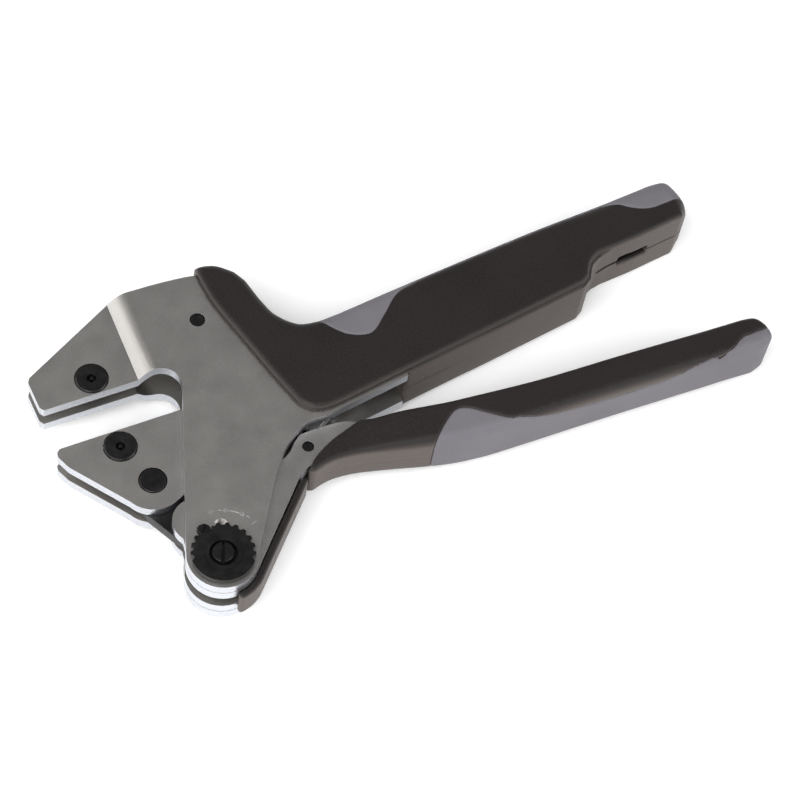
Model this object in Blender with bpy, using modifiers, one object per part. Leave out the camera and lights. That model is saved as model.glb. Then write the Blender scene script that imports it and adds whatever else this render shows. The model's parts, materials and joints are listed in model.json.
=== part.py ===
"""Frame of a hand crimping tool for interchangeable dies, without its dies.

Metres, +Z up. The tool lies on its back face: X runs along the fixed handle from the jaws to the
handle's end, Y runs across the tool from the lever to the fixed jaw, Z is the thickness.
The outlines below are in millimetres in the tool's own plane, with (0, 0) at the centre of the
adjusting wheel and z = 0 half-way between the two frame plates.
"""

from math import asin, atan2, cos, degrees, hypot, pi, radians, sin

import bmesh
import bpy
from mathutils import Vector

MM = 0.001
ROW_ORIGIN = Vector((75.509, 33.0, -10.3))  # bottom centre of the whole tool, tool plane

# Layers, as distances from the middle plane
INNER_IN, INNER_OUT = 2.1, 5.2  # jaw, lever and fixed-jaw plates
OUTER_IN, OUTER_OUT = 5.4, 8.5  # raised part of the frame plates
MIDDLE = 1.9  # link, rack, spacers and pawl between the plates
COVER_OUT = 10.3  # faces of the fixed handle
GRIP_OUT = 8.6  # faces of the moving handle, which thins to MOUTH_OUT at its mouth
MOUTH_OUT = 6.3
THINNEST_X, FULL_X = 44.0, 84.0
GAP = 0.2  # around a pin that fits its hole
SEAM = 0.1  # half the gap between two moulded halves

# Axes
WHEEL = (0.0, 0.0)
ECCENTRICITY = 0.25
LEVER_AXIS = (0.0, ECCENTRICITY)
TOGGLE = (0.4, 13.4)
LINK_PIN = (-3.9, 29.5)
JAW_AXIS = (47.0, 43.5)
PAWL_AXIS = (37.6, 18.3)
UPPER_DIE = (-2.7, 64.6)
LOWER_DIE = (-6.3, 42.6)
LOCK_SCREW = (-0.7, 8.6)
DIMPLE = (4.1, 8.0)
SPACER_PIN = (30.6, 65.3)
TANG_RIVETS = [(92.0, 35.0), (138.0, 37.0)]
RACK_PINS = [(52.5, 29.0), (60.0, 31.5)]
JAW_RIVETS = [(20.0, 38.0), (28.0, 38.2)]
LEVER_RIVETS = [(70.0, 7.2), (106.0, -0.8)]

# Radii
JAW_PIN_R = 4.0
LINK_PIN_R = 3.7
TOGGLE_R = 2.8
TOGGLE_SLOT_R = 3.4  # the open pivot's clearance
TOGGLE_SLOT = (0.54, 13.3)  # the link's hole, centred on the pin's drift over the stroke
DIE_HEAD_R, DIE_SHANK_R = 4.5, 2.5
LOCK_HEAD_R, LOCK_SHANK_R = 1.72, 1.2
LOBE_R, LOBE_HOLE_R = 4.9, 5.35
JOURNAL_R = 4.0
WHEEL_R, WHEEL_ROOT_R = 8.55, 7.75
SPACER_R, RIVET_R = 1.95, 2.0
PAWL_PIN_R = 1.45
JAW_RIVET_R, LEVER_RIVET_R = 1.5, 1.4
BOLT_SLOT_ANGLE = 57.6
RING_CENTRE = (-0.26, -0.48)  # the wheel's raised ring, eccentric to the bolt's head
CORNERS = ((-1, -1), (1, -1), (1, 1), (-1, 1))
HEAD_END_R = 9.6  # round lower end of the frame and of the lever
STEPS = 32
HIDDEN_STEPS = 20

# The mouth: both die seats lie along this direction
SEAT_ANGLE = -8.4
UPPER_SEAT = (12.42, 57.44)
LOWER_SEAT = (-20.7, 49.7)
MOUTH_CENTRE, MOUTH_R = (11.6, 51.9), 5.6
RAMP_NORMAL = -9.8  # direction in which the frame plates step outward
RAMP_START, RAMP_END = -1.9, 3.5
RAMP_LINES = 6

# Ratchet
RACK_TIP_R, RACK_ROOT_R = 47.6, 48.7
RACK_FROM, RACK_TO, RACK_TEETH = 27.5, 40.5, 9

COLOURS = {
    "steel": ((0.42, 0.41, 0.40, 1), 0.38, 1.0),
    "bright_steel": ((0.62, 0.62, 0.62, 1), 0.25, 1.0),
    "black_oxide": ((0.012, 0.011, 0.011, 1), 0.35, 0.6),
    "spring_steel": ((0.30, 0.30, 0.31, 1), 0.35, 1.0),
    "black_plastic": ((0.032, 0.027, 0.026, 1), 0.55, 0.0),
    "grey_grip": ((0.20, 0.19, 0.21, 1), 0.65, 0.0),
}


# ---------------------------------------------------------------- outlines

def arc(centre, radius, start, end, steps=8):
    """Points on an arc, from one angle to another in degrees."""
    turn = (end - start) / steps
    angles = [radians(start + turn * i) for i in range(steps + 1)]
    return [(centre[0] + radius * cos(a), centre[1] + radius * sin(a)) for a in angles]


def circle(centre, radius, steps=STEPS):
    return arc(centre, radius, 0, 360, steps)[:-1]


def polar(centre, radius, angle):
    return arc(centre, radius, angle, angle, 1)[0]


def smooth(points, steps=4):
    """A curve through the points (Catmull-Rom), ends included."""
    padded = [points[0]] + list(points) + [points[-1]]
    curve = []
    for before, a, b, after in zip(padded, padded[1:], padded[2:], padded[3:]):
        for i in range(steps):
            t = i / steps
            weights = (
                -t / 2 + t * t - t ** 3 / 2,
                1 - 2.5 * t * t + 1.5 * t ** 3,
                t / 2 + 2 * t * t - 1.5 * t ** 3,
                (t ** 3 - t * t) / 2,
            )
            corners = (before, a, b, after)
            curve.append(tuple(sum(w * p[k] for w, p in zip(weights, corners)) for k in (0, 1)))
    return curve + [points[-1]]


def seat_line(through, x):
    """Height at x of the line through a point that runs along the die seats."""
    slope = sin(radians(SEAT_ANGLE)) / cos(radians(SEAT_ANGLE))
    return through[1] + slope * (x - through[0])


def tapered(a, radius_a, b, radius_b, steps=14):
    """Outline of two discs and the lines that touch both."""
    along = degrees(atan2(b[1] - a[1], b[0] - a[0]))
    lean = degrees(asin((radius_a - radius_b) / hypot(b[0] - a[0], b[1] - a[1])))
    side = 90 - lean
    around_b = arc(b, radius_b, along - side, along + side, steps)
    around_a = arc(a, radius_a, along + side, along + 360 - side, steps)
    return around_b + around_a


# ---------------------------------------------------------------- scene helpers

def clear_scene():
    for obj in list(bpy.data.objects):
        bpy.data.objects.remove(obj, do_unlink=True)


def new_collection(name):
    collection = bpy.data.collections.new(name)
    bpy.context.scene.collection.children.link(collection)
    return collection


def material(name):
    found = bpy.data.materials.get(name)
    if found:
        return found
    colour, roughness, metallic = COLOURS[name]
    made = bpy.data.materials.new(name)
    made.use_nodes = True
    shader = made.node_tree.nodes["Principled BSDF"]
    shader.inputs["Base Color"].default_value = colour
    shader.inputs["Roughness"].default_value = roughness
    shader.inputs["Metallic"].default_value = metallic
    return made


def to_world(point, z=0.0):
    return (Vector((point[0], point[1], z)) - ROW_ORIGIN) * MM


def add_axis(name, point):
    """An empty on a joint's axis, which carries the pieces that turn there."""
    empty = bpy.data.objects.new(name, None)
    empty.empty_display_size = 0.01
    empty.location = to_world(point)
    PARTS.objects.link(empty)
    empty["point"] = point
    return empty


def shift_to_axis(mesh, axis):
    x, y = axis["point"]
    for vertex in mesh.vertices:
        vertex.co = (vertex.co - Vector((x, y, 0))) * MM


def add_piece(name, mesh, axis, look):
    shift_to_axis(mesh, axis)
    obj = bpy.data.objects.new(name, mesh)
    obj.parent = axis
    PARTS.objects.link(obj)
    mesh.materials.append(material(look))
    mesh.shade_smooth()
    mesh.set_sharp_from_angle(angle=radians(35))
    return obj


def add_cutter(name, mesh, axis):
    shift_to_axis(mesh, axis)
    obj = bpy.data.objects.new(name, mesh)
    obj.parent = axis
    obj.hide_render = True
    obj.display_type = "WIRE"
    CUTTERS.objects.link(obj)
    return obj


def combine(obj, other, operation="DIFFERENCE", solver="EXACT"):
    modifier = obj.modifiers.new(other.name, "BOOLEAN")
    modifier.operation = operation
    modifier.solver = solver
    modifier.object = other


def slab(name, loops, low, high):
    """A flat outline, with any holes as further loops, filled and extruded from low to high."""
    curve = bpy.data.curves.new(name, "CURVE")
    curve.dimensions = "2D"
    curve.fill_mode = "BOTH"
    curve.extrude = (high - low) / 2
    for loop in loops:
        spline = curve.splines.new("POLY")
        spline.points.add(len(loop) - 1)
        for point, (x, y) in zip(spline.points, loop):
            point.co = (x, y, 0, 1)
        spline.use_cyclic_u = True
    holder = bpy.data.objects.new(name, curve)
    bpy.context.scene.collection.objects.link(holder)
    graph = bpy.context.evaluated_depsgraph_get()
    mesh = bpy.data.meshes.new_from_object(holder.evaluated_get(graph))
    bpy.data.objects.remove(holder)
    work = bmesh.new()
    work.from_mesh(mesh)
    bmesh.ops.remove_doubles(work, verts=work.verts, dist=0.001)
    bmesh.ops.translate(work, verts=work.verts, vec=(0, 0, (low + high) / 2))
    bmesh.ops.recalc_face_normals(work, faces=work.faces)
    work.to_mesh(mesh)
    work.free()
    mesh.name = name
    return mesh


def cut_across(work, point, normal):
    """New edges where a plane crosses the mesh, with nothing taken away."""
    geometry = work.verts[:] + work.edges[:] + work.faces[:]
    bmesh.ops.bisect_plane(work, geom=geometry, plane_co=point, plane_no=normal)


def rounded_slab(name, outline, low, high, radius, segments=3):
    """A slab whose upper and lower rims are rounded."""
    mesh = slab(name, [outline], low, high)
    work = bmesh.new()
    work.from_mesh(mesh)
    bmesh.ops.dissolve_limit(work, angle_limit=radians(1), verts=work.verts, edges=work.edges)

    def on_rim(edge):
        level = {round(v.co.z, 3) for v in edge.verts}
        return len(level) == 1 and any(abs(f.normal.z) < 0.5 for f in edge.link_faces)

    rim = [edge for edge in work.edges if on_rim(edge)]
    bmesh.ops.bevel(
        work, geom=rim, offset=radius, segments=segments, profile=0.5, affect="EDGES"
    )
    work.to_mesh(mesh)
    work.free()
    return mesh


def half_of(mesh, name, side):
    """The part of a mesh on one side of the seam plane, closed there."""
    half = mesh.copy()
    half.name = name
    work = bmesh.new()
    work.from_mesh(half)
    cut = bmesh.ops.bisect_plane(
        work,
        geom=work.verts[:] + work.edges[:] + work.faces[:],
        plane_co=(0, 0, SEAM * side),
        plane_no=(0, 0, -side),
        clear_outer=True,
    )
    edges = [item for item in cut["geom_cut"] if isinstance(item, bmesh.types.BMEdge)]
    bmesh.ops.triangle_fill(work, edges=edges, use_beauty=True)
    bmesh.ops.recalc_face_normals(work, faces=work.faces)
    work.to_mesh(half)
    work.free()
    return half


def turned(name, centre, profile, axis, look, steps=STEPS):
    """A turned piece: (radius, z) down its outer side, swept round an upright line."""
    mesh = bpy.data.meshes.new(name)
    points = [(radius * MM, 0, z * MM) for radius, z in profile]
    edges = [(i, i + 1) for i in range(len(points) - 1)]
    mesh.from_pydata(points, edges, [])
    obj = bpy.data.objects.new(name, mesh)
    x, y = axis["point"]
    obj.parent = axis
    obj.location = ((centre[0] - x) * MM, (centre[1] - y) * MM, 0)
    mesh.materials.append(material(look))
    PARTS.objects.link(obj)
    screw = obj.modifiers.new("turn", "SCREW")
    screw.axis = "Z"
    screw.steps = steps
    screw.render_steps = steps
    screw.use_merge_vertices = True
    screw.merge_threshold = 0.00001
    screw.use_smooth_shade = True
    return obj


def pin_profile(radius, low, high, chamfer=0.3):
    return [
        (0, high),
        (radius - chamfer, high),
        (radius, high - chamfer),
        (radius, low + chamfer),
        (radius - chamfer, low),
        (0, low),
    ]


def shouldered_profile(end_r, end, body_r, body):
    """A spacer rivet: thin ends out to +-end, a thicker body out to +-body."""
    upper = [(0, end), (end_r - 0.2, end), (end_r, end - 0.2), (end_r, body), (body_r, body)]
    return upper + [(radius, -z) for radius, z in reversed(upper)]


def add_disc_cutter(name, centre, radius, low, high, axis, steps=STEPS):
    return add_cutter(name, slab(name, [circle(centre, radius, steps)], low, high), axis)


# ---------------------------------------------------------------- frame plates

def jaw_nose():
    """Fixed jaw, from the ramp down to the seat, without the raised part."""
    tip = (-18.6, seat_line(UPPER_SEAT, -18.6))
    return [(12.4, 82.9), (-5.8, 76.7), (-17.3, 72.7), (-18.2, 71.6), (-19.3, 63.3), tip]


def frame_outline():
    """Outline of a frame plate, with its tang inside the fixed handle."""
    mouth = arc(MOUTH_CENTRE, MOUTH_R, 90 + SEAT_ANGLE, -30, 10)
    head_end = arc(WHEEL, HEAD_END_R, 150, 315, 16)
    neck = [(9.6, -2.8), (19.7, 8.5), (27.0, 16.2), (33.5, 21.0), (40.0, 23.4), (46.0, 22.6)]
    tang = [(72.0, 22.6), (72.8, 25.6), (134.0, 25.6), (137.0, 31.6), (145.5, 31.6), (146, 42.0)]
    crown = smooth([(100.0, 44.4), (62.0, 46.0), (53.0, 48.8), (47.6, 55.0), (46.4, 62.0)], 3)
    nose = smooth([(46.3, 69.0), (44.0, 74.0), (37.5, 77.9), (28.0, 80.4), (18.0, 82.2)], 3)
    return jaw_nose() + mouth + head_end + smooth(neck, 3) + tang + crown + nose


def step_outward(mesh, side):
    """Raises a plate made in the inner layer outward: a crisp crease, then a soft shoulder."""
    angle = radians(RAMP_NORMAL)
    normal = Vector((cos(angle), sin(angle), 0))
    work = bmesh.new()
    work.from_mesh(mesh)
    width = RAMP_END - RAMP_START
    for line in range(RAMP_LINES + 1):
        cut_across(work, normal * (RAMP_START + width * line / RAMP_LINES), normal)
    rise = OUTER_IN - INNER_IN
    for vertex in work.verts:
        along = min(1, max(0, (vertex.co.dot(normal) - RAMP_START) / width))
        below_mouth = vertex.co.y < MOUTH_CENTRE[1]
        share = 1 if below_mouth else 1 - (1 - along) ** 2
        vertex.co.z += side * rise * share
    work.to_mesh(mesh)
    work.free()


def add_frame_plate(name, side):
    low, high = sorted((side * INNER_IN, side * INNER_OUT))
    die_hole = DIE_HEAD_R + GAP if side > 0 else DIE_SHANK_R + GAP
    holes = [
        circle(UPPER_DIE, die_hole),
        circle(SPACER_PIN, SPACER_R + GAP, 20),
        circle(JAW_AXIS, JAW_PIN_R + GAP),
        circle(WHEEL, JOURNAL_R + GAP),
    ]
    holes += [circle(point, RIVET_R + GAP, 20) for point in TANG_RIVETS + RACK_PINS]
    if side > 0:
        holes.append(circle(LOCK_SCREW, LOCK_SHANK_R + GAP, 16))
    mesh = slab(name, [frame_outline()] + holes, low, high)
    step_outward(mesh, side)
    return add_piece(name, mesh, FRAME, "steel")


def add_frame_plates():
    front = add_frame_plate("frame_plate_front", 1)
    add_frame_plate("frame_plate_back", -1)
    seat_floor = OUTER_OUT - 0.8
    seat = add_disc_cutter("lock_screw_seat", LOCK_SCREW, LOCK_HEAD_R + 0.23, seat_floor, 9.5, FRAME, 20)
    combine(front, seat)
    cone_profile = [(0, 9.2), (2.3, 9.2), (0.9, 7.4), (0, 7.4)]
    cone = turned("dimple", DIMPLE, cone_profile, FRAME, "steel")
    PARTS.objects.unlink(cone)
    CUTTERS.objects.link(cone)
    cone.hide_render = True
    cone.display_type = "WIRE"
    combine(front, cone)


def add_frame_pins():
    body = OUTER_IN - GAP
    spacer = shouldered_profile(SPACER_R, OUTER_OUT - 0.6, 3.5, body)
    turned("frame_spacer_pin", SPACER_PIN, spacer, FRAME, "black_oxide")
    turned("jaw_pivot_pin", JAW_AXIS, pin_profile(JAW_PIN_R, -8.4, 8.4), FRAME, "steel")
    for number, point in enumerate(TANG_RIVETS, 1):
        profile = shouldered_profile(RIVET_R, OUTER_OUT - 0.1, 4.0, body)
        turned(f"tang_rivet_{number}", point, profile, FRAME, "steel", HIDDEN_STEPS)
    for number, point in enumerate(RACK_PINS, 1):
        profile = pin_profile(RIVET_R, -OUTER_OUT + 0.1, OUTER_OUT - 0.1)
        turned(f"rack_pin_{number}", point, profile, FRAME, "steel", HIDDEN_STEPS)


def rack_teeth():
    """Saw teeth that face the lever's axis."""
    pitch = (RACK_TO - RACK_FROM) / RACK_TEETH
    points = []
    for tooth in range(RACK_TEETH):
        start = RACK_FROM + tooth * pitch
        points.append(polar(LEVER_AXIS, RACK_ROOT_R, start))
        points.append(polar(LEVER_AXIS, RACK_TIP_R, start + 0.15 * pitch))
        points.append(polar(LEVER_AXIS, RACK_TIP_R, start + 0.35 * pitch))
    return points + [polar(LEVER_AXIS, RACK_ROOT_R, RACK_TO)]


def add_rack():
    back = [(38.6, 33.6), (44.0, 33.2), (60.0, 35.0)] + arc((61.5, 31.5), 3.5, 90, -60, 8)
    outline = rack_teeth() + back + [(50.0, 25.8)]
    holes = [circle(point, RIVET_R + GAP, 20) for point in RACK_PINS]
    mesh = slab("ratchet_rack", [outline] + holes, -MIDDLE, MIDDLE)
    add_piece("ratchet_rack", mesh, FRAME, "bright_steel")


# ---------------------------------------------------------------- adjuster

def wheel_outline():
    """Notches over the upper part, a plain rim below, a deeper notch at the locking screw."""
    lock = degrees(atan2(LOCK_SCREW[1], LOCK_SCREW[0]))
    pitch, first, notches = 17.0, lock - 8 * 17.0, 13
    points = []
    for notch in range(notches):
        middle = first + notch * pitch
        depth = WHEEL_R - WHEEL_ROOT_R
        for turn, drop in ((-5.6, 0), (-4.0, 0.55), (-1.6, 1), (1.6, 1), (4.0, 0.55), (5.6, 0)):
            points.append(polar(WHEEL, WHEEL_R - drop * depth, middle + turn))
    rim_from = first + (notches - 1) * pitch + 12
    return points + arc(WHEEL, WHEEL_R, rim_from, first + 360 - 12, 16)


def add_adjuster():
    rim = slab("adjusting_wheel", [wheel_outline()], 9.3, 10.5)
    wheel = add_piece("adjusting_wheel", rim, FRAME, "black_oxide")
    hub = add_disc_cutter("wheel_hub", WHEEL, 6.3, 8.7, 9.8, FRAME)
    ring = add_disc_cutter("wheel_ring", RING_CENTRE, 4.9, 10.0, 10.75, FRAME)
    for addition in (hub, ring):
        combine(wheel, addition, "UNION", "MANIFOLD")
    head_hole = add_disc_cutter("bolt_head_hole", RING_CENTRE, 3.8, 8, 12, FRAME)
    lock_notch = add_disc_cutter("lock_notch", LOCK_SCREW, LOCK_HEAD_R + 0.23, 9, 12, FRAME, 20)
    for cutter in (head_hole, lock_notch):
        combine(wheel, cutter, solver="MANIFOLD")

    profile = [
        (0, 10.4), (2.75, 10.4), (3.0, 10.15), (3.0, 8.55), (JOURNAL_R, 8.55), (JOURNAL_R, 5.1),
        (3.0, 5.1), (3.0, -5.1), (JOURNAL_R, -5.1), (JOURNAL_R, -8.6), (3.2, -8.6), (3.2, -8.8),
        (2.6, -8.8), (2.6, -9.7), (3.2, -9.7), (3.0, -10.1), (0, -10.1),
    ]
    bolt = turned("eccentric_bolt", WHEEL, profile, FRAME, "black_oxide")
    lobe = add_disc_cutter("eccentric_lobe", LEVER_AXIS, LOBE_R, -5.3, 5.3, FRAME)
    combine(bolt, lobe, "UNION")
    along, across = polar((0, 0), 5.0, BOLT_SLOT_ANGLE), polar((0, 0), 0.45, BOLT_SLOT_ANGLE + 90)
    slot = [(a * along[0] + b * across[0], a * along[1] + b * across[1]) for a, b in CORNERS]
    combine(bolt, add_cutter("bolt_slot", slab("bolt_slot", [slot], 9.2, 12), FRAME))

    clip = arc(WHEEL, 5.6, 30, 330, 24) + arc(WHEEL, 2.9, 330, 30, 18)
    mesh = slab("bolt_retaining_clip", [clip], -9.6, -8.9)
    add_piece("bolt_retaining_clip", mesh, FRAME, "black_oxide")


def add_lock_screw():
    profile = [
        (0, 9.1), (LOCK_HEAD_R - 0.12, 9.1), (LOCK_HEAD_R, 8.95), (LOCK_HEAD_R, 7.9),
        (LOCK_SHANK_R, 7.9), (LOCK_SHANK_R, 5.6), (0, 5.6),
    ]
    screw = turned("lock_screw", LOCK_SCREW, profile, FRAME, "black_oxide")
    x, y = LOCK_SCREW
    slot = [(x + a, y + b) for a, b in ((-2, -1.6), (-1.6, -2), (2, 1.6), (1.6, 2))]
    combine(screw, add_cutter("lock_screw_slot", slab("lock_screw_slot", [slot], 8.6, 10), FRAME))


def add_die_screw(name, centre, axis):
    """Cap screw across the two jaw plates, with a six-sided socket round a small pin."""
    profile = [
        (0, 5.5), (4.1, 5.5), (DIE_HEAD_R, 5.1), (DIE_HEAD_R, 2.4), (DIE_SHANK_R, 2.4),
        (DIE_SHANK_R, -4.9), (DIE_SHANK_R - 0.3, -5.2), (0, -5.2),
    ]
    screw = turned(name, centre, profile, axis, "black_oxide")
    socket = [circle(centre, 1.45, 6), circle(centre, 0.45, 12)]
    combine(screw, add_cutter(f"{name}_socket", slab(f"{name}_socket", socket, 3.2, 6), axis))


# ---------------------------------------------------------------- moving jaw and link

def jaw_outline():
    tip_x = -20.7
    top_left = (tip_x, seat_line(LOWER_SEAT, tip_x))
    tip = [top_left, (-21.9, 49.0), (-22.3, 47.6), (-21.3, 43.6)]
    heel = arc(LINK_PIN, 8.8, 198, 290, 12)
    belly = smooth([(7.5, 23.6), (15.0, 27.6), (26.0, 33.4), (38.0, 36.6)], 3)
    boss = arc(JAW_AXIS, 6.8, -90, 105, 16)
    back = smooth([(38.0, 46.5), (30.0, 43.0), (20.0, seat_line(LOWER_SEAT, 20.0))], 3)
    return tip + heel + belly + boss + back


def add_jaw_plate(name, side):
    low, high = sorted((side * INNER_IN, side * INNER_OUT))
    die_hole = DIE_HEAD_R + GAP if side > 0 else DIE_SHANK_R + GAP
    holes = [
        circle(LOWER_DIE, die_hole),
        circle(LINK_PIN, LINK_PIN_R + GAP),
        circle(JAW_AXIS, JAW_PIN_R + GAP),
    ]
    holes += [circle(point, JAW_RIVET_R + GAP, 16) for point in JAW_RIVETS]
    add_piece(name, slab(name, [jaw_outline()] + holes, low, high), JAW, "steel")


def add_moving_jaw():
    add_jaw_plate("jaw_plate_front", 1)
    add_jaw_plate("jaw_plate_back", -1)
    turned("link_pin", LINK_PIN, pin_profile(LINK_PIN_R, -5.3, 5.3), JAW, "black_oxide")
    (x1, y1), (x2, y2) = JAW_RIVETS
    block = arc((x2, y2), 3.3, -90, 90, 8) + arc((x1, y1), 3.3, 90, 270, 8)
    holes = [circle(point, JAW_RIVET_R + GAP, 16) for point in JAW_RIVETS]
    mesh = slab("jaw_spacer", [block] + holes, -MIDDLE, MIDDLE)
    add_piece("jaw_spacer", mesh, JAW, "steel")
    for number, point in enumerate(JAW_RIVETS, 1):
        profile = pin_profile(JAW_RIVET_R, -5.15, 5.15, 0.2)
        turned(f"jaw_rivet_{number}", point, profile, JAW, "steel", HIDDEN_STEPS)


def add_link():
    outline = tapered(LINK_PIN, 7.4, TOGGLE, 6.3)
    holes = [circle(LINK_PIN, LINK_PIN_R + GAP), circle(TOGGLE_SLOT, TOGGLE_SLOT_R)]
    mesh = slab("toggle_link", [outline] + holes, -MIDDLE, MIDDLE)
    add_piece("toggle_link", mesh, LINK, "black_oxide")


# ---------------------------------------------------------------- lever

def lever_outline():
    """Lever plate: round end, bulge at the toggle pin, cheek at the pawl, tang in the grip."""
    bulge = arc(TOGGLE, 6.7, 60, 205, 14)
    waist = [(-6.4, 8.0)]
    end = arc(WHEEL, HEAD_END_R, 155, 312, 18)
    edge = [(31.0, 11.6), (34.5, 12.9), (46.0, 11.6)]
    tang_below = [(57.0, 8.0), (76.0, 2.6), (122.0, -6.6), (123.5, -4.5)]
    tang_above = [(122.5, -2.2), (80.0, 6.4), (62.0, 12.6)]
    cheek = smooth([(54.0, 17.6), (50.5, 20.0), (46.5, 21.2), (41.0, 22.1), (37.6, 22.5)], 3)
    back = smooth([(35.0, 21.2), (31.0, 18.6), (22.0, 17.2), (12.0, 18.2), (6.0, 19.0)], 3)
    return bulge + waist + end + edge + tang_below + tang_above + cheek + back


def add_lever_plate(name, side):
    low, high = sorted((side * INNER_IN, side * INNER_OUT))
    holes = [
        circle(LEVER_AXIS, LOBE_HOLE_R),
        circle(TOGGLE, TOGGLE_R + GAP),
        circle(PAWL_AXIS, PAWL_PIN_R + GAP, 20),
    ]
    holes += [circle(point, LEVER_RIVET_R + GAP, 16) for point in LEVER_RIVETS]
    add_piece(name, slab(name, [lever_outline()] + holes, low, high), LEVER, "steel")


def spine_line(offset):
    """The lever's outer edge, moved outward, from its round end to the grip."""
    rounded = arc(WHEEL, HEAD_END_R + offset, -96, -53, 8)
    return rounded + [polar((31.6, 11.8), offset, -52.7)]


def add_spine():
    """Moulded strip along the lever's outer edge, with a tongue between the plates."""
    strip = slab("lever_spine", [spine_line(2.2) + spine_line(GAP)[::-1]], -4.7, 4.7)
    spine = add_piece("lever_spine", strip, LEVER, "black_plastic")
    outline = [(12.0, -4.6), (32.6, 11.2), (32.4, 12.6), (29.0, 12.6), (9.6, -2.0), (10.0, -4.4)]
    tongue = slab("spine_tongue", [outline], -MIDDLE, MIDDLE)
    combine(spine, add_cutter("spine_tongue", tongue, LEVER), "UNION")
    for number, spot in enumerate(((13.6, -3.6), (24.8, 4.8)), 1):
        nub = add_disc_cutter(f"spine_nub_{number}", spot, 0.9, -2.5, 2.5, LEVER, 12)
        combine(spine, nub, "UNION")


def add_pawl():
    hub = arc(PAWL_AXIS, 3.0, 130, 400, 16)
    tip = [polar(LEVER_AXIS, RACK_TIP_R - 0.25, angle) for angle in (27.3, 29.6, 31.2)]
    outline = hub + tip + [(37.4, 22.6)]
    hole = circle(PAWL_AXIS, PAWL_PIN_R + GAP, 20)
    mesh = slab("ratchet_pawl", [outline, hole], -0.1, MIDDLE)
    add_piece("ratchet_pawl", mesh, PAWL, "black_oxide")


def wire(name, points, thickness, axis):
    """A round spring wire along a list of (x, y, z) points."""
    curve = bpy.data.curves.new(name, "CURVE")
    curve.dimensions = "3D"
    curve.bevel_depth = thickness * MM / 2
    curve.bevel_resolution = 1
    curve.use_fill_caps = True
    spline = curve.splines.new("POLY")
    spline.points.add(len(points) - 1)
    ax, ay = axis["point"]
    for point, (x, y, z) in zip(spline.points, points):
        point.co = ((x - ax) * MM, (y - ay) * MM, z * MM, 1)
    obj = bpy.data.objects.new(name, curve)
    obj.parent = axis
    curve.materials.append(material("spring_steel"))
    PARTS.objects.link(obj)


def coil(centre, radius, turns, low, high, start, per_turn=14):
    """Points of a coil that climbs from low to high."""
    count = round(turns * per_turn)
    points = []
    for i in range(count + 1):
        angle = radians(start) + 2 * pi * turns * i / count
        height = low + (high - low) * i / count
        points.append((centre[0] + radius * cos(angle), centre[1] + radius * sin(angle), height))
    return points


def add_springs():
    """Torsion springs: a coil round the pin with a straight leg at each end."""
    around_jaw = coil(JAW_AXIS, 5.4, 2.25, -1.35, 1.35, 180)
    upper_leg = (around_jaw[0][0], 52.0, around_jaw[0][2])
    rear_leg = (60.0, around_jaw[-1][1], around_jaw[-1][2])
    wire("opening_spring", [upper_leg] + around_jaw + [rear_leg], 1.0, FRAME)

    around_pawl = coil(PAWL_AXIS, 2.1, 2.45, -1.65, -0.4, 198)
    lower_leg = (31.6, 14.4, around_pawl[0][2])
    pawl_leg = (40.2, 22.0, around_pawl[-1][2])
    wire("pawl_spring", [lower_leg] + around_pawl + [pawl_leg], 0.4, LEVER)


def add_lever():
    add_lever_plate("lever_plate_front", 1)
    add_lever_plate("lever_plate_back", -1)
    turned("toggle_pin", TOGGLE, pin_profile(TOGGLE_R, -5.15, 5.15), LEVER, "black_oxide")
    turned("pawl_pin", PAWL_AXIS, pin_profile(PAWL_PIN_R, -4.6, 4.6, 0.2), LEVER, "black_oxide")
    for number, point in enumerate(LEVER_RIVETS, 1):
        profile = shouldered_profile(LEVER_RIVET_R, INNER_OUT - 0.1, 2.2, MIDDLE)
        turned(f"lever_rivet_{number}", point, profile, LEVER, "steel", HIDDEN_STEPS)
    add_spine()


# ---------------------------------------------------------------- handles

def cover_outline():
    """Fixed handle, seen on its face."""
    edge = [(37.0, 78.4), (36.3, 72.0), (36.3, 65.0), (37.4, 54.0), (38.8, 40.0), (40.2, 29.8)]
    corner = smooth([(40.6, 28.4), (43.0, 25.2), (47.0, 23.6), (52.0, 23.2)], 3)
    under = [(73.0, 23.2), (103.0, 23.0), (131.0, 22.9)]
    step = smooth([(134.0, 24.2), (137.0, 27.6), (140.5, 29.0)], 3)
    foot = [(154.0, 28.9), (168.5, 28.6)]
    end = smooth([(171.6, 30.0), (173.2, 33.6), (173.0, 39.4), (171.4, 42.2), (167.0, 43.3)], 3)
    back = [(151.0, 44.3), (118.0, 46.3), (86.0, 48.0), (66.0, 48.8)]
    waist = smooth([(60.0, 49.3), (54.4, 51.2), (50.6, 56.4), (49.4, 62.0), (48.9, 70.0)], 4)
    nose = smooth([(47.6, 74.0), (44.4, 77.9), (41.0, 79.8), (38.2, 80.1)], 3)
    return smooth(edge, 3) + corner + under + step + foot + end + back + waist + nose


def cover_inlay_outline():
    """Soft inlay of the fixed handle: a fore lobe, the whole spine, an aft lobe."""
    fore = [(58.6, 51.0), (60.4, 46.0), (64.0, 40.8), (69.8, 38.2), (76.0, 41.4), (83.0, 45.6), (92.0, 46.5)]
    spine = [(104.0, 45.9), (122.0, 44.8), (140.0, 43.7)]
    aft = [(150.0, 42.7), (154.2, 40.8), (157.0, 38.0), (161.0, 35.5), (166.0, 34.6), (178.0, 34.2)]
    return smooth(fore, 4) + spine + smooth(aft, 4) + [(178.0, 56.0), (58.0, 56.0)]


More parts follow.
